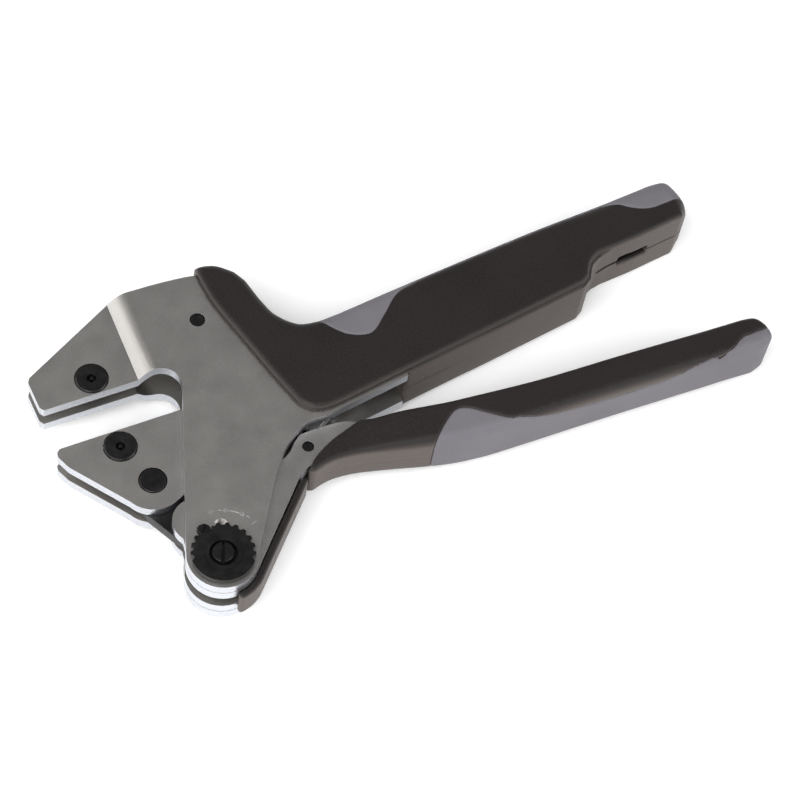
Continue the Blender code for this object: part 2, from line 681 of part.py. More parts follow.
def grip_outline():
    """Moving handle, seen on its face."""
    mouth = smooth([(33.6, 11.4), (35.6, 13.6), (39.0, 15.4), (45.6, 17.4), (54.0, 18.4)], 3)
    upper = smooth([(57.5, 16.9), (64.7, 15.1), (72.6, 12.4), (81.0, 9.8), (103.6, 4.4)], 2)
    far = [(127.6, 0.0), (151.8, -4.7)]
    end = [(164.0, -6.9), (168.0, -8.4), (169.6, -12.2), (168.8, -15.8), (164.2, -16.9)]
    lower = [(148.4, -14.2), (117.6, -8.8), (93.3, -4.8)]
    belly = [(81.3, -2.6), (70.1, 0.5), (54.7, 6.8), (47.5, 9.6), (41.0, 11.0), (35.2, 10.6)]
    return mouth + upper + far + smooth(end, 4) + lower + smooth(belly, 3)


def grip_inlay_outline():
    """Soft inlay of the moving handle: its outer side, with a fore lobe and the whole end."""
    fore = smooth([(60.0, -2.0), (64.0, 1.2), (69.0, 4.8), (75.4, 7.0), (81.0, 4.6), (88.0, -1.6)], 4)
    side = [(103.0, -5.2), (127.0, -9.4), (146.0, -12.6)]
    aft = smooth([(152.5, -12.6), (156.6, -10.6), (160.0, -6.0), (161.0, 2.0)], 3)
    return fore + side + aft + [(178.0, 2.0), (178.0, -24.0), (60.0, -24.0)]


def thin_forward(mesh):
    """Thins the moving handle evenly from its full thickness towards its mouth."""
    work = bmesh.new()
    work.from_mesh(mesh)
    for x in (THINNEST_X, FULL_X):
        cut_across(work, (x, 0, 0), (1, 0, 0))
    for vertex in work.verts:
        along = min(1, max(0, (vertex.co.x - THINNEST_X) / (FULL_X - THINNEST_X)))
        vertex.co.z *= (MOUTH_OUT + (GRIP_OUT - MOUTH_OUT) * along) / GRIP_OUT
    work.to_mesh(mesh)
    work.free()


def add_handle(names, axis, body, inlay_outline, face, cavities):
    """Two moulded halves round a cavity, and the soft saddle let into both of them."""
    shell_name, inlay_name = names
    region = slab(f"{shell_name}_recess", [inlay_outline], -face - 2, face + 2)
    recess = add_cutter(f"{shell_name}_recess", region, axis)
    hollows = [
        add_cutter(f"{shell_name}_hollow_{i}", slab("hollow", [loop], low, high), axis)
        for i, (loop, low, high) in enumerate(cavities)
    ]
    inlay = add_piece(inlay_name, body.copy(), axis, "grey_grip")
    smaller = slab(f"{inlay_name}_region", [inset(inlay_outline, 0.25)], -face - 2, face + 2)
    smaller_cutter = add_cutter(f"{inlay_name}_region", smaller, axis)
    combine(inlay, smaller_cutter, "INTERSECT", "MANIFOLD")
    halves = []
    for suffix, side in (("front", 1), ("back", -1)):
        name = f"{shell_name}_{suffix}"
        half = add_piece(name, half_of(body, name, side), axis, "black_plastic")
        combine(half, recess, solver="MANIFOLD")
        halves.append(half)
    for obj in [inlay] + halves:
        for hollow in hollows:
            combine(obj, hollow, solver="MANIFOLD")


def inset(outline, distance):
    """The outline moved inward, corner by corner."""
    area = sum(a[0] * b[1] - b[0] * a[1] for a, b in zip(outline, outline[1:] + outline[:1]))
    side = 1 if area > 0 else -1
    moved = []
    for before, here, after in zip(outline[-1:] + outline[:-1], outline, outline[1:] + outline[:1]):
        into = Vector((here[0] - before[0], here[1] - before[1])).normalized()
        out = Vector((after[0] - here[0], after[1] - here[1])).normalized()
        bisector = Vector((-(into.y + out.y), into.x + out.x)).normalized()
        reach = distance / max(0.5, bisector.dot(Vector((-into.y, into.x))))
        moved.append((here[0] + side * bisector.x * reach, here[1] + side * bisector.y * reach))
    return moved


def add_handles():
    frame_room = inset(frame_outline(), -0.3)
    slot = [(148.3, 26.0), (158.3, 26.0), (158.3, 33.0), (148.3, 33.0)]
    cavities = [(frame_room, -OUTER_OUT - GAP, OUTER_OUT + GAP), (slot, -1.3, 1.3)]
    cover = rounded_slab("handle_body", cover_outline(), -COVER_OUT, COVER_OUT, 1.8)
    names = ("handle_shell", "handle_grip_inlay")
    add_handle(names, FRAME, cover, cover_inlay_outline(), COVER_OUT, cavities)

    tang_room = inset(lever_outline(), -0.3)
    cavities = [(tang_room, -INNER_OUT - GAP, INNER_OUT + GAP)]
    grip = rounded_slab("grip_body", grip_outline(), -GRIP_OUT, GRIP_OUT, 2.6)
    thin_forward(grip)
    names = ("lever_grip", "lever_grip_inlay")
    add_handle(names, LEVER, grip, grip_inlay_outline(), GRIP_OUT, cavities)


# ---------------------------------------------------------------- assembly

clear_scene()
PARTS = new_collection("crimping_tool")
CUTTERS = new_collection("cutters")

FRAME = add_axis("frame_axis", WHEEL)
LEVER = add_axis("lever_axis", LEVER_AXIS)
JAW = add_axis("jaw_axis", JAW_AXIS)
LINK = add_axis("link_axis", LINK_PIN)
PAWL = add_axis("pawl_axis", PAWL_AXIS)

add_frame_plates()
add_frame_pins()
add_rack()
add_adjuster()
add_lock_screw()
add_die_screw("upper_die_screw", UPPER_DIE, FRAME)
add_die_screw("lower_die_screw", LOWER_DIE, JAW)
add_moving_jaw()
add_link()
add_lever()
add_pawl()
add_springs()
add_handles()
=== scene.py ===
"""Looks of a hand crimping tool for interchangeable dies, on a white table.

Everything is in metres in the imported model's frame. Shapes are worked out in the tool's own plane, in
millimetres from the adjusting wheel's centre, with heights from the middle plane between the two
frame plates, and surface_mesh() puts them into the frame.
"""

import json
from math import cos, radians, sin

import bmesh
import bpy
import numpy as np
from mathutils import Matrix, Vector


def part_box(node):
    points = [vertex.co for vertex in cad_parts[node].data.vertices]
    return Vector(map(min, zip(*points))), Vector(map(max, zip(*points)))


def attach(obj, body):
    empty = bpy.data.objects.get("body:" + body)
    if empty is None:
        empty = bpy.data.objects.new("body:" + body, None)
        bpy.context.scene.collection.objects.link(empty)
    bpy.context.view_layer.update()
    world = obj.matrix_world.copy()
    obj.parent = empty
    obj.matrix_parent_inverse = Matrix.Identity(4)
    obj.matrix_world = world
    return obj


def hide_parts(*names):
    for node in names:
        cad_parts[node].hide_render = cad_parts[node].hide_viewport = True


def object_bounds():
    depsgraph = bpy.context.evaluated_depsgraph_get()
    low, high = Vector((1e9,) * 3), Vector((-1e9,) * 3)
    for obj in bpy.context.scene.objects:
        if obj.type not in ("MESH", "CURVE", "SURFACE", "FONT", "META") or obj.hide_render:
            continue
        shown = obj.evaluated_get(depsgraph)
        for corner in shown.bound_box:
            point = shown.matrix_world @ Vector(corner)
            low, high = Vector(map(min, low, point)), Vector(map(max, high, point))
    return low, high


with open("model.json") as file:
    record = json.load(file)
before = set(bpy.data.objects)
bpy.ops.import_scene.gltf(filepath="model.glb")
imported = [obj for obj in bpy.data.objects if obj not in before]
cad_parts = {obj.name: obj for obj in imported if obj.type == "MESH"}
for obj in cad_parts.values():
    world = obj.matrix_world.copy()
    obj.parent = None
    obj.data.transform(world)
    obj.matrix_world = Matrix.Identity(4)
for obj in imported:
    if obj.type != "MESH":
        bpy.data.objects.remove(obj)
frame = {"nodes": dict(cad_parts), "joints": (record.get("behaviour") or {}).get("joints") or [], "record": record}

CAD_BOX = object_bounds()
MM = 0.001


def joint_place(name):
    return Vector(next(joint["pos_m"] for joint in frame["joints"] if joint["name"] == name))


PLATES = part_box("frame_plate_front"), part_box("frame_plate_back")
MIDDLE_Z = (PLATES[0][1].z + PLATES[1][0].z) / 2
WHEEL = Vector((joint_place("adjuster_turn").x, joint_place("adjuster_turn").y, MIDDLE_Z))


def height(node, end):
    """How far a node's lowest (0) or highest (1) face is from the middle plane, in millimetres."""
    return abs(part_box(node)[end].z - MIDDLE_Z) / MM


PLATE_OUT = height("frame_plate_front", 1)
COVER_OUT = height("handle_shell_front", 1)
GRIP_OUT = height("lever_grip_front", 1)
LEVER_OUT = height("lever_plate_front", 1)


# ---------------------------------------------------------------- camera, table and light

CAMERA_AZIMUTH, CAMERA_ELEVATION, CAMERA_ROLL = 42.77, 59.0, 12.0
CAMERA_TARGET = Vector((-0.0063, -0.0122, 0.0103))
CAMERA_DISTANCE = 0.7918
FOCAL_MM, SENSOR_MM = 130.05, 36.0


def add_camera():
    azimuth, elevation, roll = map(radians, (CAMERA_AZIMUTH, CAMERA_ELEVATION, CAMERA_ROLL))
    forward = Vector((sin(azimuth) * cos(elevation), cos(azimuth) * cos(elevation), -sin(elevation)))
    level = Vector((cos(azimuth), -sin(azimuth), 0))
    upward = level.cross(forward)
    right = level * cos(roll) + upward * sin(roll)
    up = upward * cos(roll) - level * sin(roll)
    data = bpy.data.cameras.new("camera")
    data.lens, data.sensor_width = FOCAL_MM, SENSOR_MM
    data.clip_start, data.clip_end = 0.05, 20
    camera = bpy.data.objects.new("camera", data)
    bpy.context.scene.collection.objects.link(camera)
    turn = Matrix((right, up, -forward)).transposed()
    camera.matrix_world = Matrix.Translation(CAMERA_TARGET - forward * CAMERA_DISTANCE) @ turn.to_4x4()
    bpy.context.scene.camera = camera


def add_area_light(name, direction, distance, size, power):
    """A soft box in a direction from the tool, turned towards it."""
    data = bpy.data.lights.new(name, "AREA")
    data.shape = "RECTANGLE"
    data.size, data.size_y = size
    data.energy = power
    light = bpy.data.objects.new(name, data)
    bpy.context.scene.collection.objects.link(light)
    away = Vector(direction).normalized()
    light.location = away * distance
    light.rotation_mode = "QUATERNION"
    light.rotation_quaternion = away.to_track_quat("Z", "Y")


def add_world():
    """Soft room light, brightest low round the horizon and greyer overhead."""
    world = bpy.data.worlds.new("studio")
    bpy.context.scene.world = world
    world.use_nodes = True
    nodes, links = world.node_tree.nodes, world.node_tree.links
    coordinate = nodes.new("ShaderNodeTexCoord")
    split = nodes.new("ShaderNodeSeparateXYZ")
    ramp = nodes.new("ShaderNodeValToRGB")
    links.new(coordinate.outputs["Generated"], split.inputs[0])
    links.new(split.outputs["Z"], ramp.inputs[0])
    links.new(ramp.outputs[0], nodes["Background"].inputs["Color"])
    stops = ramp.color_ramp
    stops.elements[0].position, stops.elements[0].color = 0.0, (1.0, 1.0, 1.0, 1)
    stops.elements[1].position, stops.elements[1].color = 1.0, (0.34, 0.34, 0.35, 1)
    for position, value in ((0.45, 0.95), (0.62, 0.42)):
        stops.elements.new(position).color = (value, value, value, 1)
    nodes["Background"].inputs["Strength"].default_value = 0.62


def add_table():
    data = bpy.data.meshes.new("table_top")
    work = bmesh.new()
    bmesh.ops.create_grid(work, x_segments=1, y_segments=1, size=6)
    work.to_mesh(data)
    work.free()
    table = bpy.data.objects.new("table_top", data)
    table.location.z = CAD_BOX[0].z - 0.0002
    bpy.context.scene.collection.objects.link(table)
    look = bpy.data.materials.new("table_white")
    look.use_nodes = True
    shader = look.node_tree.nodes["Principled BSDF"]
    shader.inputs["Base Color"].default_value = (0.93, 0.93, 0.93, 1)
    shader.inputs["Roughness"].default_value = 0.8
    shader.inputs["Specular IOR Level"].default_value = 0.1
    shader.inputs["Emission Color"].default_value = (1, 1, 1, 1)
    shader.inputs["Emission Strength"].default_value = 0.16
    data.materials.append(look)


add_camera()
add_table()
add_world()
add_area_light("softbox_back_left", (-0.75, 0.57, 0.36), 1.1, (1.0, 0.7), 4)
add_area_light("softbox_over_left", (-0.55, -0.25, 0.8), 1.3, (1.0, 1.0), 17)
add_area_light("softbox_front_right", (0.6, -0.7, 0.55), 1.4, (0.9, 0.9), 9)
bpy.context.scene.view_settings.view_transform = "Standard"


# ---------------------------------------------------------------- materials

class Look:
    """A node material, built up from small steps."""

    def __init__(self, name, roughness, metallic=0.0, **sockets):
        self.material = bpy.data.materials.new(name)
        self.material.use_nodes = True
        self.nodes = self.material.node_tree.nodes
        self.links = self.material.node_tree.links
        self.shader = self.nodes["Principled BSDF"]
        self.shader.inputs["Roughness"].default_value = roughness
        self.shader.inputs["Metallic"].default_value = metallic
        for socket, value in sockets.items():
            self.shader.inputs[socket.replace("_", " ")].default_value = value
        self.place = self.nodes.new("ShaderNodeTexCoord").outputs["Object"]

    def stretched(self, scale):
        mapping = self.nodes.new("ShaderNodeMapping")
        mapping.inputs["Scale"].default_value = scale
        self.links.new(self.place, mapping.inputs["Vector"])
        return mapping.outputs[0]

    def noise(self, size_mm, detail=3, stretch=None, roughness=0.55):
        """Cloudy noise whose features are about size_mm across."""
        node = self.nodes.new("ShaderNodeTexNoise")
        node.inputs["Scale"].default_value = 1 / (size_mm * MM)
        node.inputs["Detail"].default_value = detail
        node.inputs["Roughness"].default_value = roughness
        self.links.new(self.stretched(stretch) if stretch else self.place, node.inputs["Vector"])
        return node.outputs["Fac"]

    def spread(self, value, low, high, start=0.3, end=0.7):
        """A value between start and end, spread over low to high."""
        node = self.nodes.new("ShaderNodeMapRange")
        for socket, number in (("From Min", start), ("From Max", end), ("To Min", low), ("To Max", high)):
            node.inputs[socket].default_value = number
        self.links.new(value, node.inputs["Value"])
        return node.outputs[0]

    def mix(self, amount, a, b):
        node = self.nodes.new("ShaderNodeMix")
        node.data_type = "RGBA"
        self.links.new(amount, node.inputs["Factor"])
        for socket, colour in ((node.inputs[6], a), (node.inputs[7], b)):
            if isinstance(colour, tuple):
                socket.default_value = (*colour, 1)
            else:
                self.links.new(colour, socket)
        return node.outputs[2]

    def maths(self, operation, a, b):
        node = self.nodes.new("ShaderNodeMath")
        node.operation = operation
        for socket, value in zip(node.inputs, (a, b)):
            if isinstance(value, (int, float)):
                socket.default_value = value
            else:
                self.links.new(value, socket)
        return node.outputs[0]

    def steepness(self, wall=0.35, flat_from=0.93):
        """0 on faces that lie flat, 1 on walls, by how far the normal points up."""
        split = self.nodes.new("ShaderNodeSeparateXYZ")
        self.links.new(self.nodes.new("ShaderNodeNewGeometry").outputs["Normal"], split.inputs[0])
        flat = self.maths("ABSOLUTE", split.outputs["Z"], 0)
        return self.spread(flat, 1.0, 0.0, wall, flat_from)

    def colour(self, value):
        self.links.new(value, self.shader.inputs["Base Color"])

    def roughness(self, value):
        self.links.new(value, self.shader.inputs["Roughness"])

    def bump(self, *layers):
        """Layers of (height, depth in millimetres)."""
        normal = None
        for value, depth in layers:
            node = self.nodes.new("ShaderNodeBump")
            node.inputs["Distance"].default_value = depth * MM
            self.links.new(value, node.inputs["Height"])
            if normal:
                self.links.new(normal, node.inputs["Normal"])
            normal = node.outputs[0]
        self.links.new(normal, self.shader.inputs["Normal"])


def steel_look(name, face, wall, grain_turn=0.0):
    """Stamped sheet: satin faces with a faint rolling grain, brighter sheared edges."""
    look = Look(name, 0.4, 1.0)
    steep = look.steepness(0.2, 0.72)
    clouds = look.noise(7, 4)
    specks = look.noise(0.3, 2)
    grain = look.noise(0.5, 3, (1, 9, 1))
    shear = look.noise(0.5, 3, (6, 6, 0.35))
    darker = tuple(0.96 * c for c in face)
    lighter = tuple(min(1, 1.04 * c) for c in face)
    satin = look.mix(look.spread(clouds, 0.0, 1.0), darker, lighter)
    satin = look.mix(look.spread(specks, 0.0, 0.35, 0.55, 0.75), satin, wall)
    edge = look.mix(look.spread(shear, 0.0, 0.6), wall, tuple(0.6 * c for c in wall))
    look.colour(look.mix(steep, satin, edge))
    flat_rough = look.spread(clouds, 0.42, 0.46)
    look.roughness(look.maths("SUBTRACT", flat_rough, look.maths("MULTIPLY", steep, 0.13)))
    look.bump((grain, 0.002), (specks, 0.007), (shear, 0.008))
    return look.material


def black_oxide_look():
    look = Look("black_oxide_steel", 0.34, 0.0, Specular_IOR_Level=0.32)
    clouds = look.noise(2.5, 4)
    fine = look.noise(0.22, 2)
    look.colour(look.mix(look.spread(clouds, 0.0, 1.0), (0.004, 0.004, 0.004), (0.009, 0.008, 0.008)))
    look.roughness(look.spread(clouds, 0.26, 0.44))
    look.bump((fine, 0.005))
    return look.material


def spring_look():
    look = Look("spring_wire", 0.3, 1.0)
    drawn = look.noise(0.3, 3, (1, 1, 8))
    look.colour(look.mix(look.spread(drawn, 0.0, 1.0), (0.20, 0.20, 0.21), (0.42, 0.42, 0.43)))
    look.bump((drawn, 0.003))
    return look.material


def plastic_look(name, dark, light, rough, sparkle, painted_wall_reflection=None):
    """Moulded plastic with a fine spark-eroded texture; its steep walls can be painted lighter, a painted
    reflection of the bright table they face at a grazing angle.
    """
    look = Look(name, rough, 0.0, Specular_IOR_Level=0.3)
    clouds = look.noise(22, 3)
    texture = look.noise(0.42, 3, None, 0.7)
    pits = look.noise(0.7, 2)
    body = look.mix(look.spread(clouds, 0.0, 1.0), dark, light)
    body = look.mix(look.spread(texture, 0.0, 0.6, 0.48, 0.72), body, tuple(sparkle * c for c in light))
    if painted_wall_reflection:
        # painted reflection: steep walls get a lighter colour for the bright table they catch at a grazing angle
        body = look.mix(look.maths("MULTIPLY", look.steepness(0.2, 0.8), 0.85), body, painted_wall_reflection)
    look.colour(body)
    look.roughness(look.spread(texture, rough - 0.07, rough + 0.1))
    look.bump((texture, 0.028), (pits, 0.02))
    return look.material


LOOKS = {
    "steel": steel_look("satin_sheet_steel", (0.42, 0.405, 0.385), (0.68, 0.70, 0.74)),
    "bright_steel": steel_look("ground_tool_steel", (0.62, 0.62, 0.62), (0.85, 0.86, 0.88)),
    "black_oxide": black_oxide_look(),
    "spring_steel": spring_look(),
    "black_plastic": plastic_look(
        "black_moulded_plastic", (0.0095, 0.0076, 0.0071), (0.0135, 0.0108, 0.0102), 0.5, 2.6,
        # painted reflection of the bright table on the moulding's steep walls
        (0.1, 0.083, 0.075),
    ),
    "grey_grip": plastic_look("grey_soft_grip", (0.125, 0.118, 0.132), (0.15, 0.142, 0.158), 0.6, 1.2),
}


# ---------------------------------------------------------------- shapes from distances

def arc(centre, radius, start, end, steps=24):
    """Points on an arc, from one angle to another in degrees."""
    turn = (end - start) / steps
    angles = [radians(start + turn * i) for i in range(steps + 1)]
    return [(centre[0] + radius * cos(a), centre[1] + radius * sin(a)) for a in angles]


def at(radius, angle):
    """A point at an angle round the wheel's centre."""
    return arc((0, 0), radius, angle, angle, 1)[0]


def smooth(points, steps=8):
    """A curve through the points (Catmull-Rom), ends included."""
    padded = np.array([points[0]] + list(points) + [points[-1]], float)
    curve = []
    for before, a, b, after in zip(padded, padded[1:], padded[2:], padded[3:]):
        for t in np.arange(steps) / steps:
            curve.append(
                a + t * (b - before) / 2 + t * t * (before - 2.5 * a + 2 * b - after / 2)
                + t ** 3 * (1.5 * (a - b) + (after - before) / 2)
            )
    return [tuple(point) for point in curve] + [points[-1]]


def moved(outline, distance):
    """An open line moved to its right-hand side, point by point."""
    points = np.array(outline, float)
    before = np.vstack([points[:1], points[:-1]])
    after = np.vstack([points[1:], points[-1:]])
    along = after - before
    along /= np.linalg.norm(along, axis=1)[:, None]
    shifted = points + distance * np.column_stack([along[:, 1], -along[:, 0]])
    return [tuple(point) for point in shifted]


class Grid:
    """Distances on a grid of the tool's plane and of heights, in millimetres."""

    def __init__(self, low, high, step, heights):
        self.x = np.arange(low[0], high[0] + step, step)
        self.y = np.arange(low[1], high[1] + step, step)
        self.z = np.array(heights, float)
        self.flat_x, self.flat_y = np.meshgrid(self.x, self.y, indexing="ij")

    def line_distance(self, points, closed=False):
        """Distance of each place in the plane from a line, and whether it is inside."""
        x, y = self.flat_x, self.flat_y
        nearest = np.full(x.shape, 1e9)
        inside = np.zeros(x.shape, bool)
        ends = points[1:] + points[:1] if closed else points[1:]
        for (x0, y0), (x1, y1) in zip(points, ends):
            along_x, along_y = x1 - x0, y1 - y0
            length = along_x ** 2 + along_y ** 2
            if length < 1e-12:
                continue
            t = np.clip(((x - x0) * along_x + (y - y0) * along_y) / length, 0, 1)
            nearest = np.minimum(nearest, (x - x0 - t * along_x) ** 2 + (y - y0 - t * along_y) ** 2)
            if closed and y0 != y1:
                crosses = (y0 > y) != (y1 > y)
                inside ^= crosses & (x < x0 + (y - y0) / (y1 - y0) * along_x)
        return np.sqrt(nearest), inside

    def region(self, outline):
        """Signed distance from a closed outline, negative inside, the same at every height."""
        distance, inside = self.line_distance(outline, True)
        return np.where(inside, -distance, distance)[:, :, None]

    def disc(self, centre, radius):
        return np.hypot(self.flat_x - centre[0], self.flat_y - centre[1])[:, :, None] - radius

    def within(self, half):
        """Signed distance from a layer round the middle plane."""
        return np.abs(self.z)[None, None, :] - half

    def shaded(self, values):
        return np.broadcast_to(values, (len(self.x), len(self.y), len(self.z)))


def both(a, b, radius=0.0):
    """What is inside a and inside b, with the edge between them rounded."""
    if not np.any(radius):
        return np.maximum(a, b)
    corner = np.hypot(np.maximum(a + radius, 0), np.maximum(b + radius, 0))
    return np.minimum(np.maximum(a, b), -radius) + corner


def blend_step(value, start, end):
    t = np.clip((value - start) / (end - start), 0, 1)
    return t * t * (3 - 2 * t)


def surface_mesh(name, grid, values):
    """The closed surface where the distance is zero (surface nets), in the frame's metres."""
    values = np.array(grid.shaded(values))
    values[[0, -1]] = values[:, [0, -1]] = values[:, :, [0, -1]] = 1.0
    axes = (grid.x, grid.y, grid.z)
    shape = [n - 1 for n in values.shape]
    total, crossings = np.zeros((*shape, 3)), np.zeros(shape)

    def corner(i, j, k):
        return values[i:i + shape[0], j:j + shape[1], k:k + shape[2]]

    for axis in range(3):
        for a, b in ((0, 0), (0, 1), (1, 0), (1, 1)):
            start = [a, b]
            start.insert(axis, 0)
            end = list(start)
            end[axis] = 1
            low, high = corner(*start), corner(*end)
            cut = (low < 0) != (high < 0)
            with np.errstate(divide="ignore", invalid="ignore"):
                t = np.where(cut, low / (low - high), 0)
            for other in range(3):
                total[..., other] += np.where(cut, t if other == axis else start[other], 0)
            crossings += cut
    used = crossings > 0
    number = np.full(shape, -1)
    number[used] = np.arange(used.sum())
    cells = np.argwhere(used)
    offsets = total[used] / crossings[used][:, None]
    points = np.empty((len(cells), 3))
    for axis, line in enumerate(axes):
        low = line[cells[:, axis]]
        points[:, axis] = low + offsets[:, axis] * (line[cells[:, axis] + 1] - low)
    points = points * MM + np.array(WHEEL)

    faces = []
    inside = values < 0
    for axis in range(3):
        u, v = [other for other in range(3) if other != axis]
        head = np.take(inside, range(1, values.shape[axis]), axis)
        tail = np.take(inside, range(values.shape[axis] - 1), axis)
        for change, flip in ((tail & ~head, axis == 1), (~tail & head, axis != 1)):
            spots = np.argwhere(change)
            quad = []
            for du, dv in ((1, 1), (0, 1), (0, 0), (1, 0)):
                place = spots.copy()
                place[:, u] -= du
                place[:, v] -= dv
                quad.append(number[tuple(place.T)])
            faces.append(np.array(quad if not flip else quad[::-1]).T)
    faces = np.vstack(faces)
    mesh = bpy.data.meshes.new(name)
    mesh.from_pydata(points.tolist(), [], faces.tolist())
    mesh.shade_smooth()
    mesh.update()
    return mesh


def add_piece(name, mesh, body, slot, replaced=(), keep=1.0):
    """A piece on a CAD body, standing for CAD nodes; keep thins out a dense mesh where it is flat."""
    obj = bpy.data.objects.new(name, mesh)
    bpy.context.scene.collection.objects.link(obj)
    mesh.materials.append(LOOKS[slot])
    if keep < 1:
        thin = obj.modifiers.new("thin", "DECIMATE")
        thin.ratio = keep
        graph = bpy.context.evaluated_depsgraph_get()
        lean = bpy.data.meshes.new_from_object(obj.evaluated_get(graph))
        obj.modifiers.clear()
        obj.data = lean
        bpy.data.meshes.remove(mesh)
        lean.name = name
        lean.shade_smooth()
    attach(obj, body)
    if replaced:
        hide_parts(*replaced)


SEAM_BAND = 0.8


def layers(outer, fine, coarse, band):
    """Heights from -outer to outer, closer together near the seam and within band of the two faces."""
    upper = list(np.arange(0, SEAM_BAND, fine)) + list(np.arange(SEAM_BAND, outer - band, coarse))
    upper += list(np.arange(outer - band, outer + 2.1 * fine, fine))
    return [-z for z in reversed(upper[1:])] + upper


# ---------------------------------------------------------------- both handles

HANDLE_STEP = 0.42
INLAY_GAP, INLAY_EDGE = 0.03, 0.12
OPEN_SEAM, SEAM_EDGE = 0.02, 0.05
HIDDEN_SEAM = -0.35  # the two halves lap where no seam shows
PLATE_CLEARANCE = 0.15


def handle_halves(grid, body, inlay_region, seam):
    """The grey inlay, and the two dark halves that meet at the middle plane."""
    inlay = both(body, inlay_region + INLAY_GAP, INLAY_EDGE)
    shell = both(body, INLAY_GAP - inlay_region, INLAY_EDGE)
    z = grid.z[None, None, :]
    return inlay, both(shell, seam - z, SEAM_EDGE), both(shell, z + seam, SEAM_EDGE)


def add_mouldings(grid, body, names, values_of_each):
    """A handle's inlay and its front and back shells, each standing for its CAD node."""
    for name, values, slot in zip(names, values_of_each, ("grey_grip", "black_plastic", "black_plastic")):
        add_piece(f"{name}_moulding", surface_mesh(name, grid, values), body, slot, [name], 0.5)


# ---------------------------------------------------------------- fixed handle

COVER_LEFT = smooth([(37.0, 78.4), (36.3, 72.0), (36.3, 65.0), (37.4, 54.0), (38.8, 40.0), (40.2, 29.8)])
COVER_CORNER = smooth([(40.6, 28.4), (43.0, 25.2), (47.0, 23.6), (52.0, 23.2)])
COVER_UNDER = [(73.0, 23.2), (103.0, 23.0), (131.0, 22.9)]
COVER_STEP = smooth([(134.0, 24.2), (137.0, 27.6), (140.5, 29.0)])
COVER_FOOT = [(154.0, 28.9), (168.5, 28.6)]
COVER_END = smooth([(171.6, 30.0), (173.2, 33.6), (173.0, 39.4), (171.4, 42.2), (167.0, 43.3)])
COVER_BACK = smooth([(151.0, 44.3), (118.0, 46.3), (86.0, 48.0), (66.0, 48.8)])
COVER_WAIST = smooth([(60.0, 49.3), (54.4, 51.2), (50.6, 56.4), (49.4, 62.0), (48.9, 70.0)])
COVER_NOSE = smooth([(47.6, 74.0), (44.4, 77.9), (41.0, 79.8), (38.2, 80.1)])
COVER_LIPPED = COVER_LEFT + COVER_CORNER + COVER_UNDER + COVER_STEP
COVER_LOWER = COVER_LIPPED + COVER_FOOT
COVER_UPPER = COVER_END + COVER_BACK + COVER_WAIST + COVER_NOSE
LIP_WIDTH, LIP_EDGE, LIP_OUT = 0.8, 0.55, COVER_OUT - 1.2
BLOCK_EDGE, BLOCK_OUT = 0.3, COVER_OUT - 1.7
LOWER_ROUNDING, UPPER_EXTRA, AFT_EXTRA = 1.4, 1.9, 1.5  # of the cover's edge, larger above and aft
SEAM_SHOWS_FROM = 157


def cover_inlay():
    fore = smooth([
        (58.6, 51.0), (60.4, 46.0), (64.0, 40.8), (69.8, 38.2), (76.0, 41.4), (83.0, 45.6), (92.0, 46.5),
    ])
    spine = [(104.0, 45.9), (122.0, 44.8), (140.0, 43.7)]
    aft = smooth([(150.0, 42.7), (154.2, 40.8), (157.0, 38.0), (161.0, 35.5), (166.0, 34.6), (178.0, 34.2)])
    return fore + spine + aft + [(178.0, 56.0), (58.0, 56.0)]


def upright_box(grid, start, end, half):
    """Distance from a box between two corners in the plane, within half of the middle plane."""
    (x0, y0), (x1, y1) = start, end
    return both(grid.region([(x0, y0), (x1, y0), (x1, y1), (x0, y1)]), grid.within(half))


def fixed_handle_body(grid):
    """The cover with its lip, and the block below it with a fine groove under the lip."""
    inner = moved(COVER_LIPPED, -LIP_WIDTH) + COVER_FOOT + COVER_UPPER
    lip_line = COVER_LIPPED + moved(COVER_UPPER, -3.0)
    near_upper = grid.line_distance(COVER_UPPER)[0]
    near_lower = grid.line_distance(COVER_LOWER)[0]
    on_upper = blend_step(near_lower - near_upper, -3, 3)
    extra = UPPER_EXTRA + AFT_EXTRA * blend_step(grid.flat_x, 125, 155)
    rounding = (LOWER_ROUNDING + extra * on_upper)[:, :, None]
    main = both(grid.region(inner), grid.within(COVER_OUT), rounding)
    main = both(main, grid.region(COVER_LOWER + COVER_UPPER))
    lip = both(grid.region(lip_line), grid.within(LIP_OUT), LIP_EDGE)
    block_line = [(73.0, 23.1), (130.8, 23.1), (134.2, 24.6), (137.2, 27.9), (139.5, 40.0), (73.0, 40.0)]
    block = both(grid.region(block_line), grid.within(BLOCK_OUT), BLOCK_EDGE)
    groove_line = [
        (73.2, 20), (141, 20), (141, 30.5), (137, 29.5), (133, 25.6), (130, 23.35), (73.2, 23.35),
    ]
    groove = both(grid.region(groove_line), np.abs(grid.within(BLOCK_OUT + 0.15)) - 0.12)
    return both(np.minimum(np.minimum(main, lip), block), -groove)


def add_fixed_handle():
    grid = Grid((35, 21.5), (174.5, 81.5), HANDLE_STEP, layers(COVER_OUT, 0.24, 0.75, 2.6))
    body = fixed_handle_body(grid)
    plate_room = [
        (30, 15), (72.4, 15), (72.4, 46.0), (62.0, 46.4), (53.4, 49.2), (48.0, 55.2), (46.8, 62.0),
        (46.7, 69.0), (44.2, 74.4), (37.5, 78.4), (30.0, 80.3),
    ]
    hollow = both(grid.region(plate_room), grid.within(PLATE_OUT + PLATE_CLEARANCE))
    slit = upright_box(grid, (140.5, 20), (148.5, 35), 0.45)
    window = upright_box(grid, (148.3, 20), (158.3, 38), 1.6)
    behind_window = upright_box(grid, (142, 31), (163, 40), 6.5)
    for cut in (hollow, slit, window, behind_window):
        body = both(body, -cut)
    seam = np.where(grid.flat_x > SEAM_SHOWS_FROM, OPEN_SEAM, HIDDEN_SEAM)[:, :, None]
    names = ("handle_grip_inlay", "handle_shell_front", "handle_shell_back")
    add_mouldings(grid, "frame", names, handle_halves(grid, body, grid.region(cover_inlay()), seam))


